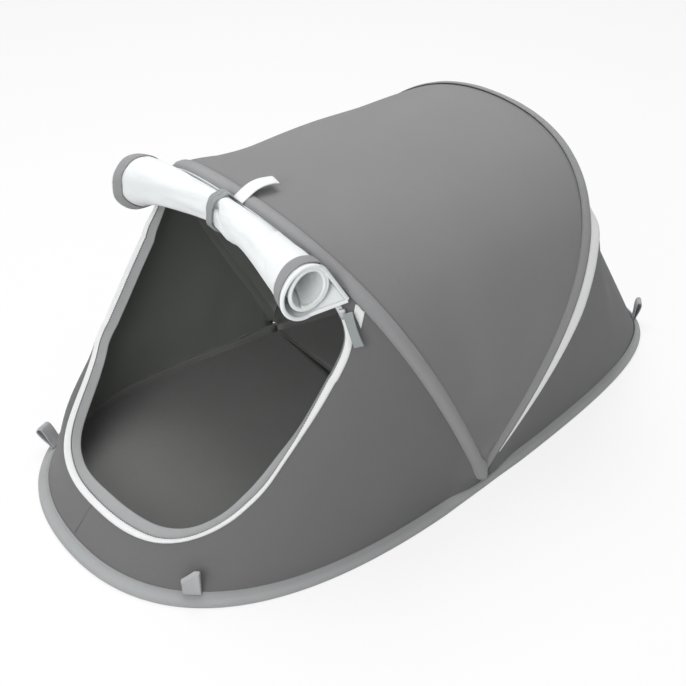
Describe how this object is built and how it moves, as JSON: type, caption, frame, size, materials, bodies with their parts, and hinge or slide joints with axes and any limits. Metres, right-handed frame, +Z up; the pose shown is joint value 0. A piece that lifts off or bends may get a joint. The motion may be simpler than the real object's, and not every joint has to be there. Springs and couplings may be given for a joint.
{
  "type": "pop-up pet tent",
  "caption": "Low pop-up shelter for a pet: sprung hoops in sleeves, cloth walls, a wide mouth with its door rolled up and tied above it, and peg loops round the floor.",
  "frame": {"origin": "on the ground, under the middle of the tent's length and width", "axes": "+X across the mouth to its right as seen from the front, +Y from the mouth to the rear, +Z up"},
  "size_m": [0.5796, 1.105, 0.4758],
  "materials": {
    "wall_cloth": "matt coated polyester, plain weave",
    "floor_cloth": "matt coated polyester",
    "arch_binding": "grosgrain tape, slight sheen",
    "floor_binding": "grosgrain tape, light grey",
    "white_tape": "white woven tape",
    "door_cloth": "white cloth, soft",
    "grey_webbing": "grey webbing",
    "loop_webbing": "light grey webbing",
    "spring_wire": "drawn spring steel",
    "zip_metal": "nickelled die casting"
  },
  "bodies": {
    "front_floor": {"front_floor_cloth": "floor_cloth", "front_floor_sleeve": "floor_binding", "front_floor_wire": "spring_wire"},
    "front_arch": {"front_arch_sleeve": "arch_binding", "front_arch_wire": "spring_wire", "front_wall": "wall_cloth", "zip_tape": "white_tape", "mouth_facing": "floor_binding", "door_roll": "door_cloth", "door_band_left": "arch_binding", "door_band_right": "arch_binding", "door_tie": "grey_webbing"},
    "rear_arch": {"rear_arch_sleeve": "arch_binding", "rear_arch_wire": "spring_wire", "canopy": "wall_cloth"},
    "rear_floor": {"rear_floor_cloth": "floor_cloth", "rear_floor_sleeve": "floor_binding", "rear_floor_wire": "spring_wire", "rear_wall": "wall_cloth", "side_tape": "white_tape"},
    "strap": {"strap": "white_tape"},
    "zip_slider": {"zip_slider": "zip_metal"},
    "zip_tab": {"zip_tab": "grey_webbing"},
    "peg_loop_front_right": {"peg_loop_front_right": "loop_webbing"},
    "peg_loop_front_left": {"peg_loop_front_left": "loop_webbing"},
    "peg_loop_rear_right": {"peg_loop_rear_right": "loop_webbing"},
    "peg_loop_rear_left": {"peg_loop_rear_left": "loop_webbing"}
  },
  "joints": [
    {"name": "front_arch_fold", "type": "hinge", "parent": "front_floor", "child": "front_arch", "pos_m": [0, -0.0015, 0.0254], "axis": [1, 0, 0], "range_deg": [0, 45.2], "stiffness_Nm_per_rad": 1.5, "springref_deg": -68.75, "deforming": ["front_wall", "zip_tape", "mouth_facing"]},
    {"name": "rear_arch_fold", "type": "hinge", "parent": "front_arch", "child": "rear_arch", "pos_m": [0, -0.0015, 0.0254], "axis": [1, 0, 0], "range_deg": [0, 50.2], "stiffness_Nm_per_rad": 1, "springref_deg": -57.3, "deforming": ["canopy"]},
    {"name": "rear_floor_fold", "type": "hinge", "parent": "rear_arch", "child": "rear_floor", "pos_m": [0, -0.0015, 0.0254], "axis": [1, 0, 0], "range_deg": [0, 51.6], "stiffness_Nm_per_rad": 1, "springref_deg": -57.3, "deforming": ["rear_wall", "side_tape"]},
    {"name": "strap_swing", "type": "hinge", "parent": "front_arch", "child": "strap", "pos_m": [0.01408, -0.24863, 0.45625], "axis": [1, 0, 0], "range_deg": [0, 85]},
    {"name": "zip_slide", "type": "slide", "parent": "front_arch", "child": "zip_slider", "axis": [0.4461, -0.0475, -0.8937], "range_m": [0, 0.035]},
    {"name": "tab_swing", "type": "hinge", "parent": "zip_slider", "child": "zip_tab", "pos_m": [0.21984, -0.2311, 0.37507], "axis": [-0.5888, -0.7676, -0.2532], "range_deg": [0, 150]},
    {"name": "peg_loop_front_right_tip", "type": "hinge", "parent": "front_floor", "child": "peg_loop_front_right", "pos_m": [0.20565, -0.4707, 0.01825], "axis": [0.6603, 0.751, 0], "range_deg": [0, 88], "stiffness_Nm_per_rad": 0.02},
    {"name": "peg_loop_front_left_tip", "type": "hinge", "parent": "front_floor", "child": "peg_loop_front_left", "pos_m": [-0.20565, -0.4707, 0.01825], "axis": [0.6603, -0.751, 0], "range_deg": [-30, 46], "stiffness_Nm_per_rad": 0.02},
    {"name": "peg_loop_rear_right_tip", "type": "hinge", "parent": "rear_floor", "child": "peg_loop_rear_right", "pos_m": [0.11221, 0.52581, 0.01825], "axis": [-0.8344, 0.5512, 0], "range_deg": [-25, 55], "stiffness_Nm_per_rad": 0.02},
    {"name": "peg_loop_rear_left_tip", "type": "hinge", "parent": "rear_floor", "child": "peg_loop_rear_left", "pos_m": [-0.11221, 0.52581, 0.01825], "axis": [-0.8344, -0.5512, 0], "range_deg": [-25, 55], "stiffness_Nm_per_rad": 0.02}
  ],
  "couplings": [
    {"joint": "rear_arch_fold", "follows": "front_arch_fold", "ratio": 1.1106},
    {"joint": "rear_floor_fold", "follows": "front_arch_fold", "ratio": 1.1415}
  ]
}
